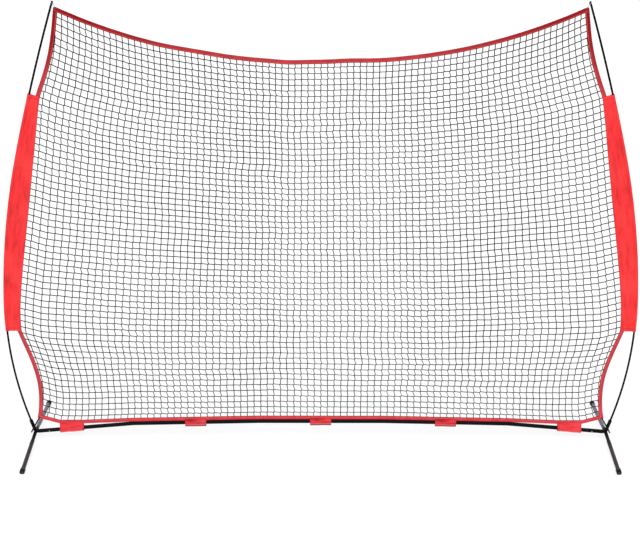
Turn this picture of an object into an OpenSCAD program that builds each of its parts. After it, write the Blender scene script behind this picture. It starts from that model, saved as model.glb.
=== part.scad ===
// Free-standing bow-frame backstop net: a jointed steel base, two bowed fibreglass poles and a bound net.
// Millimetres. +X to the right, +Y to the rear, +Z up. The origin is on the floor, midway between the feet.

/* [Base] */
// Distance between the two hub centres
hub_spacing = 3660; // [3400:10:4200]
// Height of the hub centres above the floor
hub_height = 47; // [45:1:80]
// Outside diameter of the crossbar and foot tubes
tube_od = 25; // [22:0.5:32]
// Wall of the crossbar and foot tubes
tube_wall = 1.2; // [1:0.1:2]
// Wall of the stubs that slide into those tubes
stub_wall = 1.5; // [1:0.1:2]
// Gap all round between pieces that slide together
slip = 0.3; // [0.2:0.05:0.5]

/* [Crossbar] */
// Length of the level middle section
centre_length = 800; // [600:10:1000]
// Horizontal length of the sections beside it
mid_length = 800; // [600:10:900]
// Rise of an end section from the hub to its inner end
end_rise = 58; // [30:1:80]
// Rise of a mid section
mid_rise = 17; // [5:1:40]
// Distance from the hub centre to the end of the crossbar tube
bar_end_gap = 18; // [16:1:30]
// Distance from the hub centre to its crossbar button
bar_button_reach = 90; // [70:1:120]
// Distance from a bend to the button in the reduced end beside it
spigot_button_reach = 30; // [25:1:45]

/* [Feet] */
// Distance from the hub centre to the middle of a foot cap
foot_reach = 434; // [350:1:600]
// Length of hub stub that shows before the foot tube
foot_stub_reach = 110; // [80:5:140]
// Distance from the start of the foot tube to its button
foot_button_inset = 25; // [18:1:40]
// Outside diameter of a rubber foot cap
cap_od = 32; // [30:0.5:42]
// Length of a foot cap
cap_length = 34; // [28:1:50]
// Thickness of a foot cap's closed end
cap_end = 6; // [4:0.5:10]
// Depth of the flat sole cut under a foot cap
sole_cut = 1; // [0.5:0.1:2]

/* [Snap buttons] */
// Diameter of a snap button
button_d = 7; // [5:0.5:9]
// Height of a button above its tube
button_proud = 3; // [2:0.25:4]
// Thickness of the spring strip behind a button
clip_strip = 0.8; // [0.6:0.1:1]
// Width of the spring strip
clip_width = 8; // [6:0.5:9]
// Length of the spring strip from the button to its bend
clip_length = 30; // [24:1:40]

/* [Poles] */
// Outward lean of the pole sockets
pole_lean = 16.9; // [14:0.1:18]
// Outside diameter of the fibreglass poles
pole_od = 12.5; // [10:0.25:14]
// Bore of the poles
pole_bore = 7; // [6:0.25:8]
// Length of each of the three pole sections
section_length = 931; // [860:1:980]
// Bend radius of the lower section
lower_bend = 2450; // [2300:10:2900]
// Bend radius of the middle section
middle_bend = 5060; // [4400:20:6000]
// Bend radius of the upper section
upper_bend = 12100; // [9000:100:30000]
// Gap all round a pole in its socket, which is straight where the pole is bowed
socket_slip = 0.5; // [0.4:0.05:0.8]
// Wall of a pole socket
socket_wall = 4.4; // [3:0.1:6]
// Length of a pole socket above the hub centre
socket_length = 85; // [70:1:86]
// Distance from the hub centre to the bottom of the pole
pole_seat = 20; // [16:1:26]
// Length of a ferrule over a pole joint
ferrule_length = 120; // [80:5:160]
// Wall of a ferrule
ferrule_wall = 1.2; // [0.8:0.1:2]
// Diameter of the elastic cord inside a pole
shock_cord_d = 3; // [2:0.25:4]
// Length of a tip cap above the pole
tip_length = 23; // [20:1:30]
// Diameter of the groove round a tip cap
tip_neck_d = 6.5; // [5.5:0.25:8]

/* [Net] */
// Drop of the top edge from its corners to its middle
top_sag = 302; // [200:2:420]
// How sharply the top edge turns up towards its corners
top_curve = 2.3; // [2:0.1:3]
// Width of the binding tape
binding_width = 22; // [14:0.5:28]
// Thickness of the folded binding tape
binding_thick = 6; // [5:0.25:8]
// Thickness of the net's cord
cord_d = 3; // [2:0.25:4]
// Number of gaps across the net
gaps_across = 21; // [10:1:24]
// Number of gaps up the net
gaps_up = 14; // [8:1:16]
// Distance along the pole from the hub centre to the net's lower corner
low_corner_reach = 93; // [70:1:110]
// Distance from the pole to the net's lower corner
low_corner_inset = 64; // [50:1:80]
// Distance along the pole from its top to the net's upper corner
top_corner_drop = 17; // [4:1:30]
// Distance from the pole to the net's upper corner
top_corner_inset = 28; // [24:1:40]
// Inward bow of the net's edge below the sleeve
lower_edge_bow = 68; // [30:1:90]
// Inward bow of the net's edge above the sleeve
upper_edge_bow = 27; // [10:1:45]

/* [Sleeves] */
// Distance along the pole from the hub centre to the sleeve
sleeve_reach = 725; // [600:5:800]
// Length of a pole sleeve
sleeve_length = 1545; // [1300:5:1650]
// Distance from the pole to the net's edge at the sleeve's bottom
sleeve_low_inset = 76; // [60:1:110]
// Distance from the pole to the net's edge at the sleeve's top
sleeve_top_inset = 54; // [45:1:80]
// How much wider the sleeve is at its middle
sleeve_belly = 40; // [20:1:60]
// Thickness of the sleeve's fabric
fabric = 1; // [0.8:0.1:1.5]

/* [Tabs] */
// Width of the three inner tabs
tab_width = 135; // [90:1:180]
// Width of the two outer tabs
outer_tab_width = 153; // [100:1:180]
// Distance from a hub centre to the middle of its outer tab
outer_tab_inset = 235; // [200:1:280]
// Height of the binding's middle above the crossbar at an outer tab
outer_tab_rise = 48; // [32:1:54]
// Thickness of a tab's folded fabric
tab_fabric = 3; // [1.5:0.1:4]
// How far a tab is sewn into the binding
tab_sewn_in = 5; // [3:0.5:7]
// Height of a tab's end above the middle of the binding
flap_rise = 4; // [2:0.5:8]
// Thickness of the hook strip that closes a tab
hook_thick = 1.5; // [1:0.1:2]
// Distance from the edges of a tab to its hook strip
hook_inset = 3; // [2:0.5:4]

/* [Loops] */
// Thickness of the cord that ties an upper corner to its tip cap
tip_loop_d = 2.6; // [2:0.1:4]
// Thickness of the elastic that ties a lower corner to its socket
corner_loop_d = 6; // [4:0.25:8]

/* [Hidden] */

$fn = 48;
LEFT = -1;
RIGHT = 1;
FRONT = -1;
REAR = 1;
steel = "#1B1A1F";
bright_steel = "#9A9A9E";
rubber = "#101012";
glass_fibre = "#0B0B0D";
red_cloth = "#E8282B";
red_tape = "#C83236";
cut = 1; // how far a cutting solid runs past the face it cuts

// Tubes, stubs and buttons
tube_r = tube_od / 2;
tube_bore_r = tube_r - tube_wall;
stub_r = tube_bore_r - slip;
stub_bore_r = stub_r - stub_wall;
hub_x = hub_spacing / 2;
hub_at = [hub_x, hub_height];
button_r = button_d / 2;
button_hole_r = button_r + slip;
button_top = tube_r + button_proud;
button_travel = button_top - stub_r;
button_edge = 1; // chamfer round the button's top
flange_r = button_r + 1.5;
flange_thick = 1;
flange_top = sqrt(pow(stub_bore_r, 2) - pow(flange_r, 2)) - slip;
clip_top = flange_top - flange_thick;
clip_low = slip - sqrt(pow(stub_bore_r, 2) - pow(clip_width / 2, 2));
clip_back = 4; // strip behind the button's centre
stub_past_button = clip_length + (clip_top - clip_low) / 2 + 5;

// The crossbar's axis, from the middle outwards: inner bend, outer bend, hub
inner_bend = [centre_length / 2, hub_height + end_rise + mid_rise];
outer_bend = [centre_length / 2 + mid_length, hub_height + end_rise];
end_slope = atan2(end_rise, hub_x - outer_bend[0]);
mid_slope = atan2(mid_rise, mid_length);
end_span = norm(hub_at - outer_bend);
mid_span = norm(outer_bend - inner_bend);
shoulder = 4; // length of the collar where a tube is reduced
weld = 1.2; // height of the weld where the hub's tubes meet
bend_gap = slip + 2 * tube_r * tan((end_slope - mid_slope) / 2);

// The feet
cap_r = cap_od / 2;
foot_slope = asin((hub_height - cap_r + sole_cut) / foot_reach);
cap_start = foot_reach - cap_length / 2;
foot_end = cap_start + cap_length - cap_end - slip;
foot_button_reach = foot_stub_reach + foot_button_inset;

// The pole's centre line in the plane of the net, by distance s from the hub centre
socket_bore_r = pole_od / 2 + socket_slip;
socket_middle = (pole_seat + socket_length) / 2;
socket_r = socket_bore_r + socket_wall;
lower_joint = pole_seat + section_length;
upper_joint = lower_joint + section_length;
pole_top = upper_joint + section_length;

function ahead(angle) = [sin(angle), cos(angle)];
function inward(angle) = [-cos(angle), sin(angle)];
function arc_lean(lean, bend, s) = lean - s / bend * 180 / PI;
function arc_point(p, lean, bend, s) =
    p + bend * [cos(arc_lean(lean, bend, s)) - cos(lean), sin(lean) - sin(arc_lean(lean, bend, s))];

socket_centre = hub_at + socket_middle * ahead(pole_lean);
lower_end = arc_point(socket_centre, pole_lean, lower_bend, lower_joint - socket_middle);
lower_lean = arc_lean(pole_lean, lower_bend, lower_joint - socket_middle);
middle_end = arc_point(lower_end, lower_lean, middle_bend, section_length);
middle_lean = arc_lean(lower_lean, middle_bend, section_length);

function pole_point(s) =
    s < lower_joint ? arc_point(socket_centre, pole_lean, lower_bend, s - socket_middle)
    : s < upper_joint ? arc_point(lower_end, lower_lean, middle_bend, s - lower_joint)
    : arc_point(middle_end, middle_lean, upper_bend, s - upper_joint);
function pole_lean_at(s) =
    s < lower_joint ? arc_lean(pole_lean, lower_bend, s - socket_middle)
    : s < upper_joint ? arc_lean(lower_lean, middle_bend, s - lower_joint)
    : arc_lean(middle_lean, upper_bend, s - upper_joint);

// The net's side edge, by the same distance along the pole
sleeve_top = sleeve_reach + sleeve_length;
top_corner_reach = pole_top - top_corner_drop;

function mix(a, b, t) = a + (b - a) * t;
function share(s, a, b) = (s - a) / (b - a);
function swell(t, skew, fullness) = pow(sin(180 * pow(t, skew)), fullness);
function below_inset(t) = mix(low_corner_inset, sleeve_low_inset, t) + lower_edge_bow * swell(t, 0.87, 1);
function sleeve_inset(t) = mix(sleeve_low_inset, sleeve_top_inset, t) + sleeve_belly * swell(t, 1.1, 1.25);
function above_inset(t) = mix(sleeve_top_inset, top_corner_inset, t) + upper_edge_bow * swell(t, 1, 1);
function edge_inset(s) =
    s < sleeve_reach ? below_inset(share(s, low_corner_reach, sleeve_reach))
    : s < sleeve_top ? sleeve_inset(share(s, sleeve_reach, sleeve_top))
    : above_inset(share(s, sleeve_top, top_corner_reach));
function edge_point(s) = pole_point(s) + edge_inset(s) * inward(pole_lean_at(s));

top_corner = edge_point(top_corner_reach);
low_corner = edge_point(low_corner_reach);

// The net's top and bottom edges, by distance x from the middle
binding_rest = tube_r + binding_width / 2 + 2.5;
middle_tab_x = (inner_bend[0] + outer_bend[0]) / 2;
outer_tab_x = hub_x - outer_tab_inset;

function bar_height(x) =
    abs(x) < inner_bend[0] ? inner_bend[1]
    : abs(x) < outer_bend[0] ? mix(inner_bend[1], outer_bend[1], share(abs(x), inner_bend[0], outer_bend[0]))
    : mix(outer_bend[1], hub_height, share(abs(x), outer_bend[0], hub_x));
function top_edge(x) = top_corner[1] - top_sag * (1 - pow(abs(x) / top_corner[0], top_curve));

outer_tab_z = bar_height(outer_tab_x) + outer_tab_rise;
bottom_line = [
    [0, bar_height(0) + binding_rest],
    inner_bend + [0, binding_rest],
    outer_bend + [0, binding_rest],
    [outer_tab_x - outer_tab_width / 2, outer_tab_z],
    [outer_tab_x + outer_tab_width / 2, outer_tab_z],
    low_corner];
function on_line(line, x, i = 0) =
    x <= line[i + 1][0] || i == len(line) - 2
    ? mix(line[i][1], line[i + 1][1], share(x, line[i][0], line[i + 1][0]))
    : on_line(line, x, i + 1);
function bottom_edge(x) = on_line(bottom_line, abs(x));

// Rows of gaps below, beside and above the sleeve
rows_below = round(gaps_up * share(sleeve_reach, low_corner_reach, top_corner_reach));
rows_above = round(gaps_up * share(sleeve_top, top_corner_reach, low_corner_reach));
rows_beside = gaps_up - rows_below - rows_above;

function row_reach(row) =
    row < rows_below ? mix(low_corner_reach, sleeve_reach, row / rows_below)
    : row < rows_below + rows_beside ? mix(sleeve_reach, sleeve_top, (row - rows_below) / rows_beside)
    : mix(sleeve_top, top_corner_reach, (row - rows_below - rows_beside) / rows_above);

// A point of the net, u across from left to right and v upwards, both from 0 to 1
function side_edge(side, v) = let (p = edge_point(row_reach(v * gaps_up))) [side * p[0], p[1]];
function net_point(u, v) =
    let (
        top_x = mix(-top_corner[0], top_corner[0], u),
        low_x = mix(-low_corner[0], low_corner[0], u),
        across = mix(side_edge(LEFT, v), side_edge(RIGHT, v), u),
        upward = mix([low_x, bottom_edge(low_x)], [top_x, top_edge(top_x)], v),
        corners = mix([low_x, low_corner[1]], [top_x, top_corner[1]], v))
    across + upward - corners;

// Solids made of rings of points
function joined(lists) = [for (one = lists) for (item = one) item];
function quad(a, b, c, d) = [[a, b, c], [a, c, d]];
function ring_walls(rings, sides, base = 0) = joined([
    for (i = [0:rings - 2], k = [0:sides - 1])
        let (a = base + i * sides + k, b = base + i * sides + (k + 1) % sides)
        quad(a, b, b + sides, a + sides)]);
function ring_cap(sides, base) = [for (k = [1:sides - 2]) [base, base + k + 1, base + k]];
function backwards(faces) = [for (f = faces) [f[2], f[1], f[0]]];

// A solid through rings of points, each ring clockwise as seen from the first towards the last
module loft(rings) {
    sides = len(rings[0]);
    last = (len(rings) - 1) * sides;
    polyhedron(joined(rings), concat(
        backwards(ring_walls(len(rings), sides)),
        backwards(ring_cap(sides, 0)),
        ring_cap(sides, last)));
}

function unit(v) = v / norm(v);
function heading(line, i) = unit(line[min(i + 1, len(line) - 1)] - line[max(i - 1, 0)]);

// A flat band along a line in the plane of the net
module band(line, width, thick) {
    outline = [[1, 0.25], [0.75, 0.5], [-0.75, 0.5], [-1, 0.25], [-1, -0.25], [-0.75, -0.5], [0.75, -0.5], [1, -0.25]];
    loft([for (i = [0:len(line) - 1])
        let (h = heading(line, i), n = [h[1], -h[0]] * width / 2)
        [for (q = outline) [line[i][0] + n[0] * q[0], thick * q[1], line[i][1] + n[1] * q[0]]]]);
}

// A round cord along a route that lies in the plane square to the given direction
module cord(route, square_to, d, sides = 8) {
    loft([for (i = [0:len(route) - 1])
        let (side = cross(heading(route, i), square_to))
        [for (k = [0:sides - 1]) route[i] + d / 2 * (cos(360 * k / sides) * side - sin(360 * k / sides) * square_to)]]);
}

// Places: the left side is the mirror of the right, the front of the rear
module on_side(side) {
    mirror([side == LEFT ? 1 : 0, 0, 0]) children();
}

// Stands children at a point of the net's plane, their Z leaning outwards by an angle
module aim(at, lean) {
    translate([at[0], 0, at[1]]) rotate([0, lean, 0]) children();
}

module along_end_section() {
    aim(outer_bend, 90 + end_slope) children();
}

module along_bar_stub() {
    aim(hub_at, end_slope - 90) children();
}

module along_foot(end) {
    mirror([0, end == FRONT ? 1 : 0, 0]) translate([hub_x, 0, hub_height]) rotate([-90 - foot_slope, 0, 0]) children();
}

module pipe(r, bore_r, length) {
    difference() {
        cylinder(r = r, h = length);
        translate([0, 0, -cut]) cylinder(r = bore_r, h = length + 2 * cut);
    }
}

// A hole for a snap button, facing X turned by an angle
module button_hole(reach, turn) {
    translate([0, 0, reach]) rotate([0, 0, turn]) rotate([0, 90, 0]) cylinder(r = button_hole_r, h = tube_r + cut);
}

module button_place(reach, turn) {
    translate([0, 0, reach]) rotate([0, 0, turn]) children();
}

facing_front = -90;
facing_rear = 90;
facing_out = 0;

// A snap button with its flange and the free leg of its spring strip, facing X
module snap_button() {
    color(bright_steel) {
        rotate([0, 90, 0]) {
            translate([0, 0, clip_top]) cylinder(r = button_r, h = button_top - button_edge - clip_top);
            translate([0, 0, button_top - button_edge])
                cylinder(r1 = button_r, r2 = button_r - button_edge, h = button_edge);
            translate([0, 0, clip_top]) cylinder(r = flange_r, h = flange_thick);
        }
        translate([clip_top - clip_strip, -clip_width / 2, -clip_back])
            cube([clip_strip, clip_width, clip_back + clip_length - slip]);
    }
}

// The fixed leg and the bend of a spring strip
module button_spring() {
    bend_r = (clip_top - clip_low) / 2;
    color(bright_steel) {
        translate([clip_low, -clip_width / 2, -clip_back]) cube([clip_strip, clip_width, clip_back + clip_length]);
        translate([clip_low + bend_r, clip_width / 2, clip_length]) rotate([90, 0, 0]) difference() {
            cylinder(r = bend_r, h = clip_width);
            translate([0, 0, -cut]) cylinder(r = bend_r - clip_strip, h = clip_width + 2 * cut);
            translate([-2 * bend_r, -4 * bend_r, -cut]) cube([4 * bend_r, 4 * bend_r, clip_width + 2 * cut]);
        }
    }
}

// The ten places of a snap button
module at_hub_button(side) {
    on_side(side) along_bar_stub() button_place(bar_button_reach, facing_front) children();
}

module at_end_button(side) {
    on_side(side) along_end_section() button_place(spigot_button_reach, facing_rear) children();
}

module at_mid_button(side) {
    on_side(side) aim(inner_bend, -90) button_place(spigot_button_reach, facing_rear) children();
}

module at_foot_button(side, end) {
    on_side(side) along_foot(end) button_place(foot_button_reach, facing_out) children();
}

module button_springs() {
    for (side = [LEFT, RIGHT]) {
        at_hub_button(side) button_spring();
        at_end_button(side) button_spring();
        at_mid_button(side) button_spring();
        for (end = [FRONT, REAR]) at_foot_button(side, end) button_spring();
    }
}

// Crossbar
module crossbar_centre() {
    length = 2 * (inner_bend[0] - bend_gap);
    color(steel) difference() {
        aim([-length / 2, inner_bend[1]], 90) pipe(tube_r, tube_bore_r, length);
        for (side = [LEFT, RIGHT])
            on_side(side) aim(inner_bend, -90) button_hole(spigot_button_reach, facing_rear);
    }
}

// The reduced end of a mid section
module spigot() {
    translate([0, 0, -shoulder / 2]) cylinder(r = stub_r, h = shoulder / 2 + spigot_button_reach + stub_past_button);
}

module spigot_bore() {
    translate([0, 0, -2 * shoulder])
        cylinder(r = stub_bore_r, h = 2 * shoulder + spigot_button_reach + stub_past_button + cut);
    button_hole(spigot_button_reach, facing_rear);
}

module crossbar_mid(side) {
    color(steel) on_side(side) difference() {
        union() {
            aim(inner_bend, 90 + mid_slope) cylinder(r = tube_r, h = mid_span);
            along_end_section() spigot();
            aim(inner_bend, -90) spigot();
        }
        aim(inner_bend, 90 + mid_slope) translate([0, 0, shoulder])
            cylinder(r = tube_bore_r, h = mid_span - 2 * shoulder);
        along_end_section() spigot_bore();
        aim(inner_bend, -90) spigot_bore();
    }
}

module crossbar_end(side) {
    color(steel) on_side(side) difference() {
        along_end_section() translate([0, 0, bend_gap]) pipe(tube_r, tube_bore_r, end_span - bend_gap - bar_end_gap);
        along_end_section() button_hole(spigot_button_reach, facing_rear);
        along_bar_stub() button_hole(bar_button_reach, facing_front);
    }
}

// Hub: two foot stubs, a crossbar stub and a pole socket, welded together
module stub(reach) {
    cylinder(r = stub_r, h = reach + stub_past_button);
}

module stub_bore(reach, turn) {
    translate([0, 0, pole_seat]) cylinder(r = stub_bore_r, h = reach + stub_past_button);
    button_hole(reach, turn);
}

module hub(side) {
    color(steel) on_side(side) difference() {
        union() {
            aim(hub_at, 0) sphere(r = stub_r + weld);
            along_bar_stub() stub(bar_button_reach);
            for (end = [FRONT, REAR]) along_foot(end) stub(foot_button_reach);
            aim(hub_at, pole_lean) cylinder(r = socket_r, h = socket_length);
        }
        along_bar_stub() stub_bore(bar_button_reach, facing_front);
        for (end = [FRONT, REAR]) along_foot(end) stub_bore(foot_button_reach, facing_out);
        aim(hub_at, pole_lean) translate([0, 0, pole_seat - slip]) cylinder(r = socket_bore_r, h = socket_length);
    }
}

// Feet
module foot(side, end) {
    color(steel) on_side(side) along_foot(end) difference() {
        translate([0, 0, foot_stub_reach]) pipe(tube_r, tube_bore_r, foot_end - foot_stub_reach);
        button_hole(foot_button_reach, facing_out);
    }
}

module foot_cap(side, end) {
    dish_r = cap_r * 0.6;
    dish_depth = 1.5;
    floor_size = 4 * cap_length;
    color(rubber) on_side(side) difference() {
        along_foot(end) translate([0, 0, cap_start]) difference() {
            cylinder(r = cap_r, h = cap_length);
            translate([0, 0, -cut]) cylinder(r = tube_r + slip, h = cap_length - cap_end + cut);
            translate([0, 0, cap_length - dish_depth]) cylinder(r = dish_r, h = dish_depth + cut);
        }
        translate([hub_x - floor_size / 2, end * foot_reach - floor_size / 2, -floor_size])
            cube([floor_size, floor_size, floor_size]);
    }
}

// A round bar along the pole's centre line: from a point with its lean, bent to a radius
module bent(from, lean, bend, length, r) {
    translate([from[0] - bend * cos(lean), 0, from[1] + bend * sin(lean)])
        rotate([90, 0, 0]) rotate([0, 0, -lean])
            rotate_extrude(angle = length / bend * 180 / PI, $fn = 360)
                translate([bend, 0]) circle(r = r, $fn = 48);
}

module pole_section(side, start, bend) {
    lean = pole_lean_at(start);
    color(glass_fibre) on_side(side) difference() {
        bent(pole_point(start), lean, bend, section_length, pole_od / 2);
        bent(pole_point(start), lean, bend, section_length, pole_bore / 2);
    }
}

// A ferrule over the joint of two sections, bent halfway between them
module ferrule(side, joint, bend_below, bend_above) {
    bend = 2 / (1 / bend_below + 1 / bend_above);
    start = arc_point(pole_point(joint), pole_lean_at(joint), bend, -ferrule_length / 2);
    lean = arc_lean(pole_lean_at(joint), bend, -ferrule_length / 2);
    bore_r = pole_od / 2 + slip;
    color(bright_steel) on_side(side) difference() {
        bent(start, lean, bend, ferrule_length, bore_r + ferrule_wall);
        bent(start, lean, bend, ferrule_length, bore_r);
    }
}

// The elastic cord that keeps the three sections of a pole together
tip_spigot = 20; // length of tip cap inside the pole
cord_socket = 12; // depth of the cord's hole in that spigot
shock_cord_rings = 50;

module shock_cord(side) {
    start = pole_seat + 4;
    end = pole_top - tip_spigot + cord_socket - slip;
    route = [for (i = [0:shock_cord_rings - 1])
        let (p = pole_point(mix(start, end, i / (shock_cord_rings - 1)))) [p[0], 0, p[1]]];
    color("#D8D8D4") on_side(side) cord(route, [0, 1, 0], shock_cord_d);
}

// Tip cap: a spigot in the pole, a body as wide as the pole, a groove and a round knob
tip_body = 10;
tip_groove = 4;
tip_round = 2;

module tip_cap(side) {
    r = pole_od / 2;
    neck_r = tip_neck_d / 2;
    neck_top = tip_body + tip_groove;
    color(rubber) on_side(side) aim(pole_point(pole_top), pole_lean_at(pole_top)) difference() {
        rotate_extrude() polygon([
            [0, -tip_spigot], [pole_bore / 2 - slip, -tip_spigot], [pole_bore / 2 - slip, 0], [r, 0],
            [r, tip_body - tip_round / 2], [r - tip_round / 2, tip_body], [neck_r, tip_body],
            [neck_r, neck_top], [r - tip_round / 2, neck_top], [r, neck_top + tip_round / 2],
            [r, tip_length - tip_round], [r - tip_round, tip_length], [0, tip_length]]);
        translate([0, 0, -tip_spigot - cut]) cylinder(r = shock_cord_d / 2 + slip, h = cord_socket + cut);
    }
}

// Cord from the groove of a tip cap to the net's upper corner: a ring, a knot and a tail
module tip_loop(side) {
    reach = pole_top + tip_body + tip_groove / 2;
    ring_r = tip_neck_d / 2 + slip + tip_loop_d / 2;
    lean = pole_lean_at(pole_top);
    neck = pole_point(pole_top) + (reach - pole_top) * ahead(lean);
    knot = neck + (ring_r + tip_loop_d) * inward(lean);
    tail = top_corner - knot;
    color("#C9C9CC") on_side(side) {
        aim(neck, lean) rotate_extrude() translate([ring_r, 0]) circle(d = tip_loop_d, $fn = 24);
        aim(knot, 0) sphere(r = tip_loop_d * 0.8, $fn = 24);
        aim(knot, atan2(tail[0], tail[1])) cylinder(d = tip_loop_d, h = norm(tail) - cord_d - 2);
    }
}

// Elastic loop from the net's lower corner round the foot of the pole socket
module corner_loop(side) {
    crossing = 30; // distance up the socket where the loop crosses it
    past_socket = 41; // how far the loop's end stands out beyond the crossing
    centre = hub_at + crossing * ahead(pole_lean);
    toward = unit(low_corner - centre);
    run = norm(low_corner - centre);
    wide = socket_r + slip + corner_loop_d / 2;
    half_route = [[-past_socket, 0], [4 - past_socket, 3.4], [-wide * 1.45, wide * 0.72], [-wide * 0.8, wide],
        [wide * 0.8, wide], [wide * 1.45, wide * 0.72], [run - binding_width / 2, 4], [run - 4, 3.4]];
    ends = len(half_route) - 1;
    route = concat(
        [for (i = [ends:-1:1]) [half_route[i][0], -half_route[i][1]]],
        half_route);
    color(rubber) on_side(side)
        cord([for (q = route) [centre[0] + toward[0] * q[0], q[1], centre[1] + toward[1] * q[0]]],
            [-toward[1], 0, toward[0]], corner_loop_d);
}

// Netting: square cords between crossings, closed into one solid
module netting() {
    half = cord_d / 2;
    columns = gaps_across + 1;
    corner_of = [[-1, -1, -1], [1, -1, -1], [1, -1, 1], [-1, -1, 1], [-1, 1, -1], [1, 1, -1], [1, 1, 1], [-1, 1, 1]];
    function at(i, j, k) = (j * columns + i) * 8 + k;
    points = joined([
        for (j = [0:gaps_up], i = [0:gaps_across])
            let (p = net_point(i / gaps_across, j / gaps_up))
            [for (c = corner_of) [p[0] + half * c[0], half * c[1], p[1] + half * c[2]]]]);
    crossings = joined([
        for (j = [0:gaps_up], i = [0:gaps_across]) concat(
            quad(at(i, j, 0), at(i, j, 3), at(i, j, 2), at(i, j, 1)),
            quad(at(i, j, 4), at(i, j, 5), at(i, j, 6), at(i, j, 7)),
            i == 0 ? quad(at(i, j, 0), at(i, j, 4), at(i, j, 7), at(i, j, 3)) : [],
            i == gaps_across ? quad(at(i, j, 1), at(i, j, 2), at(i, j, 6), at(i, j, 5)) : [],
            j == 0 ? quad(at(i, j, 0), at(i, j, 1), at(i, j, 5), at(i, j, 4)) : [],
            j == gaps_up ? quad(at(i, j, 3), at(i, j, 7), at(i, j, 6), at(i, j, 2)) : [])]);
    across = joined([
        for (j = [0:gaps_up], i = [0:gaps_across - 1]) concat(
            quad(at(i, j, 1), at(i, j, 2), at(i + 1, j, 3), at(i + 1, j, 0)),
            quad(at(i, j, 5), at(i + 1, j, 4), at(i + 1, j, 7), at(i, j, 6)),
            quad(at(i, j, 2), at(i, j, 6), at(i + 1, j, 7), at(i + 1, j, 3)),
            quad(at(i, j, 1), at(i + 1, j, 0), at(i + 1, j, 4), at(i, j, 5)))]);
    upward = joined([
        for (j = [0:gaps_up - 1], i = [0:gaps_across]) concat(
            quad(at(i, j, 3), at(i, j + 1, 0), at(i, j + 1, 1), at(i, j, 2)),
            quad(at(i, j, 7), at(i, j, 6), at(i, j + 1, 5), at(i, j + 1, 4)),
            quad(at(i, j, 3), at(i, j, 7), at(i, j + 1, 4), at(i, j + 1, 0)),
            quad(at(i, j, 2), at(i, j + 1, 1), at(i, j + 1, 5), at(i, j, 6)))]);
    color("#2B2E2E") polyhedron(points, concat(crossings, across, upward));
}

// Binding: a folded tape along each edge, run on at its ends to fill the corners
corner_fill = binding_width * 0.45;
side_thick = binding_thick - 1; // the top and bottom tapes fold over the ends of the side tapes

function run_on(line) =
    let (n = len(line) - 1)
    concat([line[0] - corner_fill * heading(line, 0)],
        [for (i = [1:n - 1]) line[i]],
        [line[n] + corner_fill * heading(line, n)]);

module binding_top() {
    steps = 28;
    line = [for (i = [0:steps]) let (x = mix(-top_corner[0], top_corner[0], i / steps)) [x, top_edge(x)]];
    color(red_tape) band(run_on(line), binding_width, binding_thick);
}

module binding_bottom() {
    ends = len(bottom_line) - 1;
    line = concat([for (i = [ends:-1:1]) [-bottom_line[i][0], bottom_line[i][1]]], bottom_line);
    color(red_tape) band(run_on(line), binding_width, binding_thick);
}

module binding_side(side) {
    below = [for (i = [0:7]) mix(low_corner_reach, sleeve_reach, i / 8)];
    beside = [for (i = [0:11]) mix(sleeve_reach, sleeve_top, i / 12)];
    above = [for (i = [0:6]) mix(sleeve_top, top_corner_reach, i / 6)];
    color(red_tape) on_side(side)
        band(run_on([for (s = concat(below, beside, above)) edge_point(s)]), binding_width, side_thick);
}

// Pole sleeve: a pocket round the pole and a panel to the net's edge
pocket_r = (pole_od / 2 + slip + ferrule_wall + slip) / cos(16);
seam_lap = 6; // how far the panel reaches under the binding

module pole_sleeve(side) {
    turns = [4, 34, 62, 90, 118, 146, 172];
    angles = concat(turns, [for (i = [len(turns) - 1:-1:0]) 360 - turns[i]]);
    sides = len(angles);
    steps = 20;
    outer_r = pocket_r + fabric;
    function pocket(s) = [for (a = angles) pocket_r * [cos(a), sin(a)]];
    function panel_end(s) = edge_inset(s) - binding_width / 2 + seam_lap;
    function cover(s) = concat(
        [[panel_end(s), 1.2 * fabric], [2.2 * outer_r, 1.6 * fabric]],
        [for (k = [2:sides - 3]) outer_r * [cos(angles[k]), sin(angles[k])]],
        [[2.2 * outer_r, -1.6 * fabric], [panel_end(s), -1.2 * fabric]]);
    function placed(outline, s) =
        let (p = pole_point(s), n = inward(pole_lean_at(s)))
        [for (q = outline) [p[0] + n[0] * q[0], q[1], p[1] + n[1] * q[0]]];
    stations = [for (i = [0:steps]) sleeve_reach + sleeve_length * i / steps];
    covers = joined([for (s = stations) placed(cover(s), s)]);
    pockets = joined([for (s = stations) placed(pocket(s), s)]);
    inner = len(covers);
    last = steps * sides;
    function end_faces(base) = joined([for (k = [0:sides - 1])
        let (a = base + k, b = base + (k + 1) % sides) quad(a, b, inner + b, inner + a)]);
    color(red_cloth) on_side(side) polyhedron(concat(covers, pockets), concat(
        ring_walls(steps + 1, sides),
        backwards(ring_walls(steps + 1, sides, inner)),
        backwards(end_faces(0)),
        end_faces(last)));
}

// Tabs: each hangs from the front of the binding, goes round under the crossbar and comes up behind it,
// where a hook strip holds its end to the back of the binding
tab_bore_r = tube_r + slip;
flap_behind = binding_thick / 2 + 2 * slip + hook_thick;
flap_turn = 50; // angle from upright at which the cloth leaves the curve of the bar
tab_tall = 2 * outer_tab_rise; // past the binding, where the cloth is cut to its height

module at_tab(x) {
    slope = x < inner_bend[0] ? 0 : x < outer_bend[0] ? mid_slope : end_slope;
    aim([x, bar_height(x)], slope - 90) children();
}

module below_height(z) {
    size = 3 * outer_tab_width;
    difference() {
        children();
        translate([-hub_spacing, -size / 2, z]) cube([2 * hub_spacing, size, size]);
    }
}

// Where a line that leaves a circle at the turn reaches a given distance behind the bar
function flap_bend(r, behind) = (r - behind * sin(flap_turn)) / cos(flap_turn);

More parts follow.
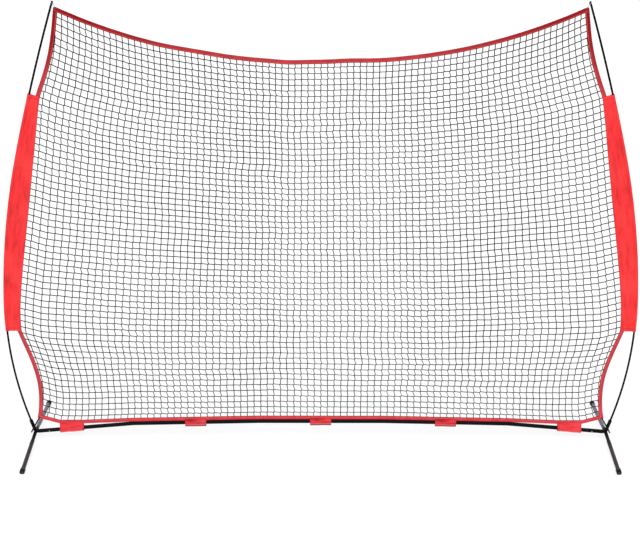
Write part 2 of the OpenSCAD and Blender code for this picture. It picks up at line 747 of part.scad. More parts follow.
module tab(x, width) {
    wrap_r = tab_bore_r + tab_fabric;
    neck = tab_fabric / 2;
    front = [[0, -wrap_r], [wrap_r * cos(flap_turn), -wrap_r * sin(flap_turn)], [wrap_r * 1.25, -neck],
        [tab_tall, -neck], [tab_tall, neck], [0, neck]];
    function rear(r, behind) = [[r * cos(flap_turn), r * sin(flap_turn)], [flap_bend(r, behind), behind],
        [tab_tall, behind]];
    color(red_cloth) difference() {
        union() {
            below_height(bottom_edge(x) - binding_width / 2 + tab_sewn_in)
                at_tab(x) translate([0, 0, -width / 2]) linear_extrude(width) union() {
                    circle(r = wrap_r);
                    polygon(front);
                }
            below_height(bottom_edge(x) + flap_rise)
                at_tab(x) translate([0, 0, -width / 2]) linear_extrude(width)
                    polygon(concat(
                        [[0, tab_fabric], [0, wrap_r]],
                        rear(wrap_r, flap_behind + tab_fabric),
                        [[tab_tall, tab_fabric]]));
        }
        at_tab(x) translate([0, 0, -width / 2 - cut]) {
            cylinder(r = tab_bore_r, h = width + 2 * cut);
            linear_extrude(width + 2 * cut)
                polygon(concat([[0, neck], [0, tab_bore_r]], rear(tab_bore_r, flap_behind), [[tab_tall, neck]]));
        }
    }
}

module tab_hook_strip(x, width) {
    low = bottom_edge(x) - binding_width / 2 + hook_inset;
    color("#26262A") translate([x - width / 2 + hook_inset, binding_thick / 2 + slip, low])
        cube([width - 2 * hook_inset, hook_thick, bottom_edge(x) + flap_rise - hook_inset - low]);
}

module tab_hook_strips() {
    tab_hook_strip(0, tab_width);
    for (side = [LEFT, RIGHT]) on_side(side) {
        tab_hook_strip(middle_tab_x, tab_width);
        tab_hook_strip(outer_tab_x, outer_tab_width);
    }
}

crossbar_centre();
crossbar_mid(LEFT);  // crossbar_mid_left
crossbar_mid(RIGHT);  // crossbar_mid_right
crossbar_end(LEFT);  // crossbar_end_left
crossbar_end(RIGHT);  // crossbar_end_right
hub(LEFT);  // hub_left
hub(RIGHT);  // hub_right
foot(LEFT, FRONT);  // foot_front_left
foot(RIGHT, FRONT);  // foot_front_right
foot(LEFT, REAR);  // foot_rear_left
foot(RIGHT, REAR);  // foot_rear_right
foot_cap(LEFT, FRONT);  // foot_cap_front_left
foot_cap(RIGHT, FRONT);  // foot_cap_front_right
foot_cap(LEFT, REAR);  // foot_cap_rear_left
foot_cap(RIGHT, REAR);  // foot_cap_rear_right
pole_section(LEFT, pole_seat, lower_bend);  // pole_lower_left
pole_section(RIGHT, pole_seat, lower_bend);  // pole_lower_right
pole_section(LEFT, lower_joint, middle_bend);  // pole_middle_left
pole_section(RIGHT, lower_joint, middle_bend);  // pole_middle_right
pole_section(LEFT, upper_joint, upper_bend);  // pole_upper_left
pole_section(RIGHT, upper_joint, upper_bend);  // pole_upper_right
ferrule(LEFT, lower_joint, lower_bend, middle_bend);  // ferrule_lower_left
ferrule(RIGHT, lower_joint, lower_bend, middle_bend);  // ferrule_lower_right
ferrule(LEFT, upper_joint, middle_bend, upper_bend);  // ferrule_upper_left
ferrule(RIGHT, upper_joint, middle_bend, upper_bend);  // ferrule_upper_right
shock_cord(LEFT);  // shock_cord_left
shock_cord(RIGHT);  // shock_cord_right
tip_cap(LEFT);  // tip_cap_left
tip_cap(RIGHT);  // tip_cap_right
tip_loop(LEFT);  // tip_loop_left
tip_loop(RIGHT);  // tip_loop_right
corner_loop(LEFT);  // corner_loop_left
corner_loop(RIGHT);  // corner_loop_right
netting();
binding_top();
binding_bottom();
binding_side(LEFT);  // binding_left
binding_side(RIGHT);  // binding_right
pole_sleeve(LEFT);  // pole_sleeve_left
pole_sleeve(RIGHT);  // pole_sleeve_right
tab(0, tab_width);  // tab_centre
on_side(LEFT) tab(middle_tab_x, tab_width);  // tab_mid_left
on_side(RIGHT) tab(middle_tab_x, tab_width);  // tab_mid_right
on_side(LEFT) tab(outer_tab_x, outer_tab_width);  // tab_outer_left
on_side(RIGHT) tab(outer_tab_x, outer_tab_width);  // tab_outer_right
tab_hook_strips();
at_hub_button(LEFT) snap_button();  // button_hub_left
at_hub_button(RIGHT) snap_button();  // button_hub_right
at_end_button(LEFT) snap_button();  // button_end_left
at_end_button(RIGHT) snap_button();  // button_end_right
at_mid_button(LEFT) snap_button();  // button_mid_left
at_mid_button(RIGHT) snap_button();  // button_mid_right
at_foot_button(LEFT, FRONT) snap_button();  // button_foot_front_left
at_foot_button(RIGHT, FRONT) snap_button();  // button_foot_front_right
at_foot_button(LEFT, REAR) snap_button();  // button_foot_rear_left
at_foot_button(RIGHT, REAR) snap_button();  // button_foot_rear_right
button_springs();
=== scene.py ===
"""Dresses the free-standing bow-frame net: makes its netting, tape, sleeves, tabs and cords on the fixed CAD frame."""

from functools import cache
from math import cos, exp, pi, radians, sin

import bmesh
import bpy
from mathutils import Euler, Matrix, Vector, noise
from mathutils.kdtree import KDTree


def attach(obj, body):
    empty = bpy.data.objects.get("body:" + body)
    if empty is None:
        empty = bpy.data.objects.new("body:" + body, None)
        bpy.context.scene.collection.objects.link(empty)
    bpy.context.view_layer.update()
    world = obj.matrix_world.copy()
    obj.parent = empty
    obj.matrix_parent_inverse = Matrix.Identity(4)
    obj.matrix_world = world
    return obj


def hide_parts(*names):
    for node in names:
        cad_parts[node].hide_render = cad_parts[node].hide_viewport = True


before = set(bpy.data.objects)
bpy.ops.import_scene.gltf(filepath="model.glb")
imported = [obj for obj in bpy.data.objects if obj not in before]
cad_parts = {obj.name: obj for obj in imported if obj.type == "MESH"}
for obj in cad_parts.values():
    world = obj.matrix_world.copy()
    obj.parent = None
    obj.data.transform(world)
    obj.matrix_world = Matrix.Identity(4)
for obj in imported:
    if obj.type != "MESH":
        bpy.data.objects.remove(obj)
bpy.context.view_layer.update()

LEFT, RIGHT = -1, 1
SIDE_NAME = {LEFT: "left", RIGHT: "right"}

# ---------------------------------------------------------------------------------------------------------------------
# Shape of the frame, in millimetres in the plane of the net, as the CAD has it. A pole's distances s run from its hub.
# ---------------------------------------------------------------------------------------------------------------------
HUB = Vector((1830, 47))
POLE_LEAN = radians(16.9)
SOCKET_MIDDLE = 52.5
LOWER_JOINT, UPPER_JOINT, POLE_TOP = 951, 1882, 2813
LOWER_BEND, MIDDLE_BEND, UPPER_BEND = 2450, 5060, 12100
TUBE_R = 12.5
CAP_DISH = (1.83, 0.45, 0.0137)  # middle of a foot cap's dished end, in metres
INNER_BEND, OUTER_BEND = Vector((400, 122)), Vector((1200, 105))

TAPE_WIDTH, TAPE_THICK, SIDE_TAPE_THICK = 22, 6, 5
TAPE_ACROSS = TAPE_WIDTH + 4  # the folded tape springs wider than it was pressed
TAPE_ROUND = 2.1 * TAPE_ACROSS / 1000  # from lip to lip round the fold, in metres
CORNER_RUN_ON = 10
LOW_CORNER, SLEEVE_LOW, SLEEVE_TOP, TOP_CORNER = 93, 725, 2270, 2796
TOP_SAG = 302
STORAGE_FOLDS = ((-700, 170, 6), (-190, 90, -5), (170, 120, 6))  # middle, reach and lift of each along the top edge


def mix(a, b, t):
    return a + (b - a) * t


def ahead(lean):
    return Vector((sin(lean), cos(lean)))


def inward(lean):
    return Vector((-cos(lean), sin(lean)))


def arc(start, lean, bend, run):
    """Point and lean at a run along an arc that starts with a lean."""
    turned = lean - run / bend
    return start + bend * Vector((cos(turned) - cos(lean), sin(lean) - sin(turned))), turned


SOCKET = HUB + SOCKET_MIDDLE * ahead(POLE_LEAN)
LOWER_END = arc(SOCKET, POLE_LEAN, LOWER_BEND, LOWER_JOINT - SOCKET_MIDDLE)
MIDDLE_END = arc(*LOWER_END, MIDDLE_BEND, UPPER_JOINT - LOWER_JOINT)


def pole(s):
    """Point and lean of the right pole's centre line."""
    if s < LOWER_JOINT:
        return arc(SOCKET, POLE_LEAN, LOWER_BEND, s - SOCKET_MIDDLE)
    if s < UPPER_JOINT:
        return arc(*LOWER_END, MIDDLE_BEND, s - LOWER_JOINT)
    return arc(*MIDDLE_END, UPPER_BEND, s - UPPER_JOINT)


def swell(t, skew, fullness):
    """A hump from 0 at each end of t's run to 1 between."""
    return max(0.0, sin(pi * max(0.0, t) ** skew)) ** fullness


def edge_inset(s):
    """Distance from the pole to the net's side edge, which draws in below, along and above the sleeve."""
    if s < SLEEVE_LOW:
        t = (s - LOW_CORNER) / (SLEEVE_LOW - LOW_CORNER)
        return mix(64, 76, t) + 68 * swell(t, 0.87, 1)
    if s < SLEEVE_TOP:
        t = (s - SLEEVE_LOW) / (SLEEVE_TOP - SLEEVE_LOW)
        return mix(76, 54, t) + 40 * swell(t, 1.1, 1.25) - 5 * t**6
    t = (s - SLEEVE_TOP) / (TOP_CORNER - SLEEVE_TOP)
    return mix(49, 28, t) + 24 * swell(t, 1, 1)


def edge(s):
    point, lean = pole(s)
    return point + edge_inset(s) * inward(lean)


LOW = edge(LOW_CORNER)
TOP = edge(TOP_CORNER)


def on_line(line, x):
    """Height of a line of points at x; it runs from the middle of the net outwards."""
    for a, b in zip(line, line[1:]):
        if x <= b[0] or b is line[-1]:
            return mix(a[1], b[1], (x - a[0]) / (b[0] - a[0]))


BAR_LINE = [(0, 122), tuple(INNER_BEND), tuple(OUTER_BEND), tuple(HUB)]
BOTTOM_LINE = [(0, 148), (400, 148), (1200, 131), (1518.5, 116.6), (1671.5, 116.6), tuple(LOW)]


def bar_height(x):
    return on_line(BAR_LINE, abs(x))


def bottom_edge(x):
    return on_line(BOTTOM_LINE, abs(x))


def top_edge(x):
    hang = TOP.y - TOP_SAG * (1 - (abs(x) / TOP.x) ** 2.3)
    return hang + sum(lift * exp(-(((x - middle) / reach) ** 2)) for middle, reach, lift in STORAGE_FOLDS)


def ripple(x, y, z=0.0):
    """Smooth noise from -1 to 1, the same in each run."""
    return noise.noise(Vector((x, y, z)))


# ---------------------------------------------------------------------------------------------------------------------
# Finishes
# ---------------------------------------------------------------------------------------------------------------------
def srgb(code):
    """Linear RGBA of an sRGB hex colour."""
    channels = [int(code[i : i + 2], 16) / 255 for i in (1, 3, 5)]
    return (*[c / 12.92 if c <= 0.04045 else ((c + 0.055) / 1.055) ** 2.4 for c in channels], 1)


def add(tree, kind, inputs=None, **settings):
    """A shader node with its settings; an input is a value or the socket that feeds it."""
    node = tree.nodes.new("ShaderNode" + kind)
    for name, value in settings.items():
        setattr(node, name, value)
    for socket, value in (inputs or {}).items():
        if isinstance(value, bpy.types.NodeSocket):
            tree.links.new(value, node.inputs[socket])
        else:
            node.inputs[socket].default_value = value
    return node


FACTOR, COLOUR_A, COLOUR_B, COLOUR_OUT = 0, 6, 7, 2  # sockets of a colour Mix node
BANDS_1_MM = 100 * pi  # scale of a wave texture whose bands lie 1 mm apart


def start_finish(name):
    material = bpy.data.materials.new(name)
    material.use_nodes = True
    tree = material.node_tree
    tree.nodes.clear()
    return material, tree


def close_finish(tree, **inputs):
    shader = add(tree, "BsdfPrincipled", {k.replace("_", " "): v for k, v in inputs.items()})
    add(tree, "OutputMaterial", {"Surface": shader.outputs[0]})


def powder_coat(name, dark, worn, front, rear):
    """Satin black powder coat baked on steel tube: fine orange peel, dusty patches, and feet greyed with painted light.
    """
    material, tree = start_finish(name)
    place = add(tree, "TexCoord").outputs["Object"]
    peel = add(tree, "TexNoise", {"Vector": place, "Scale": 420, "Detail": 2})  # 2.4 mm
    dust = add(tree, "TexNoise", {"Vector": place, "Scale": 9, "Detail": 6, "Roughness": 0.7})
    amount = add(tree, "MapRange", {"Value": dust.outputs["Fac"], "From Min": 0.42, "From Max": 0.75, "To Max": 0.5})
    dusty = add(
        tree,
        "Mix",
        {FACTOR: amount.outputs[0], COLOUR_A: srgb(dark), COLOUR_B: srgb(worn)},
        data_type="RGBA",
    )
    along = add(tree, "SeparateXYZ", {"Vector": place})
    # painted light: the feet turn grey in patches towards the front and the rear, standing in for the light on their
    # sloping tops
    foot_light_patches = add(
        tree, "MapRange", {"Value": dust.outputs["Fac"], "From Min": 0.3, "From Max": 0.7, "To Min": 0.75, "To Max": 1}
    )
    colour = dusty.outputs[COLOUR_OUT]
    for tone, near, far in ((front, -0.03, -0.22), (rear, 0.02, 0.09)):
        reach = add(
            tree,
            "MapRange",
            {"Value": along.outputs["Y"], "From Min": near, "From Max": far, "To Max": foot_light_patches.outputs[0]},
            interpolation_type="SMOOTHSTEP",
        )
        mixed = add(tree, "Mix", {FACTOR: reach.outputs[0], COLOUR_A: colour, COLOUR_B: srgb(tone)}, data_type="RGBA")
        colour = mixed.outputs[COLOUR_OUT]
    rough = add(
        tree,
        "MapRange",
        {"Value": dust.outputs["Fac"], "From Min": 0.3, "From Max": 0.7, "To Min": 0.34, "To Max": 0.5},
    )
    bump = add(tree, "Bump", {"Height": peel.outputs["Fac"], "Strength": 0.2, "Distance": 0.0004})
    close_finish(
        tree,
        Base_Color=colour,
        Roughness=rough.outputs[0],
        IOR=1.5,
        Specular_IOR_Level=0.08,
        Normal=bump.outputs[0],
    )
    return material


def moulded_rubber(name, dark, scuffed, cap_light, dish_highlight):
    """Moulded black rubber: matt, finely grained, scuffed; the front foot caps are greyed with painted light but for
    their rims.
    """
    material, tree = start_finish(name)
    place = add(tree, "TexCoord").outputs["Object"]
    grain = add(tree, "TexNoise", {"Vector": place, "Scale": 900, "Detail": 3})  # 1.1 mm
    scuffs = add(tree, "TexNoise", {"Vector": place, "Scale": 60, "Detail": 8, "Roughness": 0.75})
    amount = add(tree, "MapRange", {"Value": scuffs.outputs["Fac"], "From Min": 0.5, "From Max": 0.8})
    colour = add(
        tree, "Mix", {FACTOR: amount.outputs[0], COLOUR_A: srgb(dark), COLOUR_B: srgb(scuffed)}, data_type="RGBA"
    )
    place_y = add(tree, "SeparateXYZ", {"Vector": place}).outputs["Y"]
    # painted light: the front caps are greyed behind their rims, like the feet they sit on
    behind_rim = add(tree, "MapRange", {"Value": place_y, "From Min": -0.44, "From Max": -0.436})
    in_front = add(tree, "Math", {0: place_y, 1: -0.1}, operation="LESS_THAN")
    lit_cap_share = add(tree, "Math", {0: behind_rim.outputs[0], 1: in_front.outputs[0]}, operation="MULTIPLY")
    colour = add(
        tree,
        "Mix",
        {FACTOR: lit_cap_share.outputs[0], COLOUR_A: colour.outputs[COLOUR_OUT], COLOUR_B: srgb(cap_light)},
        data_type="RGBA",
    )
    # painted highlight: the middle of each cap's dished end is lightened as if lit
    spot = add(tree, "VectorMath", {0: place}, operation="ABSOLUTE")
    from_axis = add(tree, "VectorMath", {0: spot.outputs[0], 1: CAP_DISH}, operation="SUBTRACT")
    from_axis = add(tree, "VectorMath", {0: from_axis.outputs[0], 1: (1, 0.4, 1)}, operation="MULTIPLY")
    from_axis = add(tree, "VectorMath", {0: from_axis.outputs[0]}, operation="LENGTH")
    inside = add(tree, "MapRange", {"Value": from_axis.outputs["Value"], "From Min": 0.0105, "From Max": 0.0085})
    dished = add(
        tree,
        "Mix",
        {FACTOR: inside.outputs[0], COLOUR_A: colour.outputs[COLOUR_OUT], COLOUR_B: srgb(dish_highlight)},
        data_type="RGBA",
    )
    bump = add(tree, "Bump", {"Height": grain.outputs["Fac"], "Strength": 0.35, "Distance": 0.0004})
    close_finish(
        tree,
        Base_Color=dished.outputs[COLOUR_OUT],
        Roughness=0.72,
        IOR=1.52,
        Specular_IOR_Level=0.12,
        Normal=bump.outputs[0],
    )
    return material


def pultruded_fibreglass(name, dark, pale):
    """Black pultruded glass-fibre rod: glossy resin with fine streaks along the rod."""
    material, tree = start_finish(name)
    place = add(tree, "TexCoord").outputs["Object"]
    stretched = add(tree, "Mapping", {"Vector": place, "Scale": (520, 520, 6)})
    streaks = add(tree, "TexNoise", {"Vector": stretched.outputs[0], "Scale": 1, "Detail": 3})
    amount = add(tree, "MapRange", {"Value": streaks.outputs["Fac"], "From Min": 0.45, "From Max": 0.8, "To Max": 0.6})
    colour = add(
        tree, "Mix", {FACTOR: amount.outputs[0], COLOUR_A: srgb(dark), COLOUR_B: srgb(pale)}, data_type="RGBA"
    )
    bump = add(tree, "Bump", {"Height": streaks.outputs["Fac"], "Strength": 0.15, "Distance": 0.0003})
    close_finish(
        tree,
        Base_Color=colour.outputs[COLOUR_OUT],
        Roughness=0.3,
        IOR=1.5,
        Specular_IOR_Level=0.05,
        Normal=bump.outputs[0],
    )
    return material


def nickel_plate(name, bright, dull):
    """Nickel-plated spring steel: soft reflections and faint handling marks."""
    material, tree = start_finish(name)
    place = add(tree, "TexCoord").outputs["Object"]
    marks = add(tree, "TexNoise", {"Vector": place, "Scale": 300, "Detail": 5})
    colour = add(
        tree, "Mix", {FACTOR: marks.outputs["Fac"], COLOUR_A: srgb(bright), COLOUR_B: srgb(dull)}, data_type="RGBA"
    )
    rough = add(tree, "MapRange", {"Value": marks.outputs["Fac"], "To Min": 0.2, "To Max": 0.42})
    close_finish(tree, Base_Color=colour.outputs[COLOUR_OUT], Metallic=1.0, Roughness=rough.outputs[0])
    return material


def twisted_cord(name, dark, pale, strand_mm, direction):
    """Twisted cord: strands that wind round it, matt fibres, and paler where it has rubbed.

    The strands are drawn strand_mm apart, coarser than the real 3 mm, so that they show.
    """
    material, tree = start_finish(name)
    place = add(tree, "TexCoord").outputs["Object"]
    strands = add(
        tree,
        "TexWave",
        {"Vector": place, "Scale": BANDS_1_MM / strand_mm, "Distortion": 1.5, "Detail": 1, "Detail Scale": 3},
        bands_direction=direction,
        wave_profile="SIN",
    )
    rubbed = add(tree, "TexNoise", {"Vector": place, "Scale": 7, "Detail": 5, "Roughness": 0.65})
    patch = add(tree, "MapRange", {"Value": rubbed.outputs["Fac"], "From Min": 0.35, "From Max": 0.7})
    shade = add(
        tree, "Math", {0: strands.outputs["Fac"], 1: patch.outputs[0], 2: 0.1}, operation="MULTIPLY_ADD", use_clamp=True
    )
    colour = add(
        tree, "Mix", {FACTOR: shade.outputs[0], COLOUR_A: srgb(dark), COLOUR_B: srgb(pale)}, data_type="RGBA"
    )
    bump = add(tree, "Bump", {"Height": strands.outputs["Fac"], "Strength": 0.6, "Distance": 0.0006})
    close_finish(
        tree,
        Base_Color=colour.outputs[COLOUR_OUT],
        Roughness=0.85,
        Specular_IOR_Level=0.2,
        Normal=bump.outputs[0],
    )
    return material


def edge_tape(name, top_dark_heights):
    """Folded polyester tape: ribs across it, a stitched seam by each edge, darker edges of painted shade and a brighter
    ridge between.

    It is palest along the bottom and darkest near the top; the last argument gives the heights where the darkest tone
    starts and where it is full.
    Its UV map is in metres across and along.
    """
    material, tree = start_finish(name)
    coords = add(tree, "TexCoord")
    along = add(tree, "SeparateXYZ", {"Vector": coords.outputs["UV"]})
    height = add(tree, "SeparateXYZ", {"Vector": coords.outputs["Object"]})
    # the ribs are drawn 5.9 mm apart, coarser than the real 1 mm, so that they show
    ribs = add(
        tree,
        "TexWave",
        {"Vector": coords.outputs["UV"], "Scale": BANDS_1_MM / 5.92, "Distortion": 0.6, "Detail": 1},
        bands_direction="Y",
    )
    colour = srgb("#D43F48")
    for tone, start, full in (("#BE3A42", 0.15, 0.3), ("#8E1217", *top_dark_heights)):
        rise = add(
            tree,
            "MapRange",
            {"Value": height.outputs["Z"], "From Min": start, "From Max": full},
            interpolation_type="SMOOTHSTEP",
        )
        base = add(tree, "Mix", {FACTOR: rise.outputs[0], COLOUR_A: colour, COLOUR_B: srgb(tone)}, data_type="RGBA")
        colour = base.outputs[COLOUR_OUT]
    # across the tape: 0 at the fold, 1 at the lips
    from_fold = add(tree, "Math", {0: along.outputs["X"], 1: 2 / TAPE_ROUND, 2: -1}, operation="MULTIPLY_ADD")
    spread = add(tree, "Math", {0: from_fold.outputs[0]}, operation="ABSOLUTE")
    middle = add(tree, "Math", {0: spread.outputs[0], 1: 0.55}, operation="SUBTRACT")
    middle = add(tree, "Math", {0: middle.outputs[0]}, operation="ABSOLUTE")
    # painted shade: the tape is darkened where it rounds over its fold and where it pinches into its lips
    dark = add(
        tree,
        "MapRange",
        {"Value": middle.outputs[0], "From Min": 0.25, "From Max": 0.45, "To Max": 0.7},
        interpolation_type="SMOOTHSTEP",
    )
    edge_shaded = add(tree, "Mix", {FACTOR: dark.outputs[0], COLOUR_A: colour, COLOUR_B: srgb("#6A0B10")}, data_type="RGBA")
    seam = add(tree, "Math", {0: spread.outputs[0], 1: 0.84}, operation="SUBTRACT")
    seam = add(tree, "Math", {0: seam.outputs[0]}, operation="ABSOLUTE")
    thread = add(tree, "Math", {0: seam.outputs[0], 1: 0.035}, operation="LESS_THAN")
    step = add(tree, "Math", {0: along.outputs["Y"], 1: 0.007}, operation="MODULO")
    step = add(tree, "Math", {0: step.outputs[0], 1: 0.0048}, operation="LESS_THAN")
    stitch = add(tree, "Math", {0: thread.outputs[0], 1: step.outputs[0]}, operation="MULTIPLY")
    sewn = add(
        tree,
        "Mix",
        {FACTOR: stitch.outputs[0], COLOUR_A: edge_shaded.outputs[COLOUR_OUT], COLOUR_B: srgb("#F0605C")},
        data_type="RGBA",
    )
    mottle = add(tree, "TexNoise", {"Vector": coords.outputs["Object"], "Scale": 14, "Detail": 6})
    tone = add(
        tree,
        "MapRange",
        {"Value": mottle.outputs["Fac"], "From Min": 0.3, "From Max": 0.7, "To Min": 0.82, "To Max": 1.12},
    )
    colour = add(
        tree,
        "Mix",
        {FACTOR: 1.0, COLOUR_A: sewn.outputs[COLOUR_OUT], COLOUR_B: tone.outputs[0]},
        data_type="RGBA",
        blend_type="MULTIPLY",
    )
    relief = add(tree, "Math", {0: stitch.outputs[0], 1: 2.0, 2: ribs.outputs["Fac"]}, operation="MULTIPLY_ADD")
    bump = add(tree, "Bump", {"Height": relief.outputs[0], "Strength": 0.5, "Distance": 0.0005})
    close_finish(
        tree,
        Base_Color=colour.outputs[COLOUR_OUT],
        Roughness=0.75,
        Specular_IOR_Level=0.1,
        Normal=bump.outputs[0],
    )
    return material


def oxford_cloth(name, red, crease_shade, pale, hem_mm, crease_shade_range=(0.35, 0.62), fold=None):
    """Coated polyester Oxford cloth: a basket weave, soft creases darkened with painted shade, hems sewn along the
    ends. Its UV map is in metres.

    fold is where the cloth turns under, in metres across the map: a painted highlight makes it paler there, and painted
    shade makes it dark past it, under the bar.
    """
    material, tree = start_finish(name)
    coords = add(tree, "TexCoord")
    # the weave is drawn 4.7 mm apart, coarser than the real 0.6 mm, so that it shows
    threads = {"Vector": coords.outputs["UV"], "Scale": BANDS_1_MM / 4.74, "Distortion": 0.4}
    warp, weft = [add(tree, "TexWave", threads, bands_direction=way) for way in "XY"]
    weave = add(tree, "Math", {0: warp.outputs["Fac"], 1: weft.outputs["Fac"]}, operation="MULTIPLY")
    stretched = add(tree, "Mapping", {"Vector": coords.outputs["UV"], "Scale": (60, 7, 1)})
    creases = add(tree, "TexNoise", {"Vector": stretched.outputs[0], "Scale": 1, "Detail": 5, "Roughness": 0.6})
    fade = add(tree, "TexNoise", {"Vector": coords.outputs["Object"], "Scale": 5, "Detail": 4})
    # painted shade: the cloth is darkened towards its second colour in its creases
    amount = add(tree, "MapRange", {"Value": creases.outputs["Fac"], "From Min": crease_shade_range[0], "From Max": crease_shade_range[1]})
    base = add(
        tree, "Mix", {FACTOR: amount.outputs[0], COLOUR_A: srgb(crease_shade), COLOUR_B: srgb(red)}, data_type="RGBA"
    )
    lift = add(tree, "MapRange", {"Value": fade.outputs["Fac"], "From Min": 0.45, "From Max": 0.75, "To Max": 0.55})
    faded = add(
        tree,
        "Mix",
        {FACTOR: lift.outputs[0], COLOUR_A: base.outputs[COLOUR_OUT], COLOUR_B: srgb(pale)},
        data_type="RGBA",
    )
    colour = faded.outputs[COLOUR_OUT]
    if fold:
        across = add(tree, "SeparateXYZ", {"Vector": coords.outputs["UV"]}).outputs["X"]
        wander = add(tree, "Math", {0: creases.outputs["Fac"], 1: 0.016, 2: across}, operation="MULTIPLY_ADD")
        # painted light: a highlight on the lip where the cloth turns under the bar, and shade past it on the underside
        lip_highlight_at, underside_shade_at = (fold - 0.004, fold + 0.004), (fold + 0.01, fold + 0.016)
        for tone, (near, far), most in ((pale, lip_highlight_at, 0.8), ("#4A060A", underside_shade_at, 0.9)):
            reach = add(
                tree, "MapRange", {"Value": wander.outputs[0], "From Min": near, "From Max": far, "To Max": most}
            )
            turned = add(
                tree, "Mix", {FACTOR: reach.outputs[0], COLOUR_A: colour, COLOUR_B: srgb(tone)}, data_type="RGBA"
            )
            colour = turned.outputs[COLOUR_OUT]
    from_end = add(tree, "Attribute", attribute_name="from_end")
    seam = add(tree, "Math", {0: from_end.outputs["Fac"], 1: hem_mm / 1000}, operation="SUBTRACT")
    seam = add(tree, "Math", {0: seam.outputs[0]}, operation="ABSOLUTE")
    line = add(tree, "Math", {0: seam.outputs[0], 1: 0.0016}, operation="LESS_THAN")
    hemmed = add(
        tree, "Mix", {FACTOR: line.outputs[0], COLOUR_A: colour, COLOUR_B: srgb("#B81A1F")}, data_type="RGBA"
    )
    relief = add(tree, "Math", {0: creases.outputs["Fac"], 1: 3.0, 2: weave.outputs[0]}, operation="MULTIPLY_ADD")
    bump = add(tree, "Bump", {"Height": relief.outputs[0], "Strength": 0.45, "Distance": 0.0005})
    close_finish(
        tree,
        Base_Color=hemmed.outputs[COLOUR_OUT],
        Roughness=0.62,
        Specular_IOR_Level=0.3,
        Sheen_Weight=0.1,
        Normal=bump.outputs[0],
    )
    return material


def braided_elastic(name, dark, pale, strand_mm):
    """Braided sheath over elastic: slanting strands and a fine fuzz.

    The strands are drawn strand_mm apart, coarser than the real 2 mm, so that they show.
    """
    material, tree = start_finish(name)
    coords = add(tree, "TexCoord")
    turned = add(tree, "Mapping", {"Vector": coords.outputs["Object"], "Rotation": (0.6, 0.5, 0.6)})
    strands = add(tree, "TexWave", {"Vector": turned.outputs[0], "Scale": BANDS_1_MM / strand_mm, "Distortion": 0.8})
    fuzz = add(tree, "TexNoise", {"Vector": coords.outputs["Object"], "Scale": 500, "Detail": 4})
    shade = add(tree, "Math", {0: strands.outputs["Fac"], 1: fuzz.outputs["Fac"]}, operation="MULTIPLY")
    colour = add(
        tree, "Mix", {FACTOR: shade.outputs[0], COLOUR_A: srgb(dark), COLOUR_B: srgb(pale)}, data_type="RGBA"
    )
    bump = add(tree, "Bump", {"Height": strands.outputs["Fac"], "Strength": 0.5, "Distance": 0.0005})
    close_finish(
        tree, Base_Color=colour.outputs[COLOUR_OUT], Roughness=0.8, Specular_IOR_Level=0.25, Normal=bump.outputs[0]
    )
    return material


def hook_tape(name, dark, pale):
    """Black nylon hook tape: a bed of stiff hooks in close rows."""
    material, tree = start_finish(name)
    place = add(tree, "TexCoord").outputs["Object"]
    hooks = add(tree, "TexVoronoi", {"Vector": place, "Scale": 550, "Randomness": 0.25})  # 1.8 mm
    colour = add(
        tree, "Mix", {FACTOR: hooks.outputs["Distance"], COLOUR_A: srgb(pale), COLOUR_B: srgb(dark)}, data_type="RGBA"
    )
    bump = add(tree, "Bump", {"Height": hooks.outputs["Distance"], "Strength": 0.8, "Distance": 0.001})
    close_finish(
        tree, Base_Color=colour.outputs[COLOUR_OUT], Roughness=0.6, Specular_IOR_Level=0.3, Normal=bump.outputs[0]
    )
    return material


# the coat's last two colours are painted light on the front and the rear feet
coat = powder_coat("satin_black_powder_coat", "#040305", "#121116", "#443F44", "#86818F")
# the rubber's last two colours are painted light: grey on the front caps and a highlight in their dishes
rubber = moulded_rubber("moulded_black_rubber", "#08080B", "#2E2D33", "#443F44", "#3A3840")
fibreglass = pultruded_fibreglass("pultruded_black_fibreglass", "#010101", "#09090B")
nickel = nickel_plate("nickel_plated_steel", "#D2D0CC", "#8D8B88")
net_up = twisted_cord("twisted_net_cord_upright", "#0B0C0C", "#1E2020", 17.76, "Z")
net_across = twisted_cord("twisted_net_cord_level", "#0C0D0D", "#242727", 17.76, "X")
tape = edge_tape("folded_red_edge_tape", (2.38, 2.74))
side_tape = edge_tape("folded_red_side_tape", (2.2, 2.68))
# each cloth's second colour is painted shade in its creases
sleeve_cloth = oxford_cloth("red_oxford_cloth", "#F8292D", "#CC171C", "#FF4242", 20)
tab_cloth = oxford_cloth("red_oxford_cloth_tabs", "#DC1422", "#6E080E", "#EC5A64", 7, crease_shade_range=(0.4, 0.54), fold=0.042)
outer_tab_cloth = oxford_cloth("red_oxford_cloth_outer_tabs", "#F03640", "#C41C25", "#F24850", 7, fold=0.068)
pale_cord = braided_elastic("pale_braided_cord", "#8E8E94", "#DADADF", 9.87)
black_elastic = braided_elastic("black_braided_elastic", "#020203", "#101013", 11.84)
hooks = hook_tape("black_hook_tape", "#0A0A0C", "#3A3A40")


# ---------------------------------------------------------------------------------------------------------------------
# Making pieces
# ---------------------------------------------------------------------------------------------------------------------
def mirrored(line):
    """The left half's copy of a line on the right half."""
    return [Vector((-x, y)) for x, y in line]


def at(point, depth=0.0, side=RIGHT):
    """A point of the net's plane and a depth behind it, put on a side, from millimetres to metres."""
    return Vector((side * point[0], depth, point[1])) / 1000


def new_piece(name, mesh, finish, node):
    mesh.name = name
    mesh.materials.clear()
    mesh.materials.append(finish)
    mesh.shade_smooth()
    piece = bpy.data.objects.new(name, mesh)
    bpy.context.scene.collection.objects.link(piece)
    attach(piece, "frame")
    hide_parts(node)
    return piece


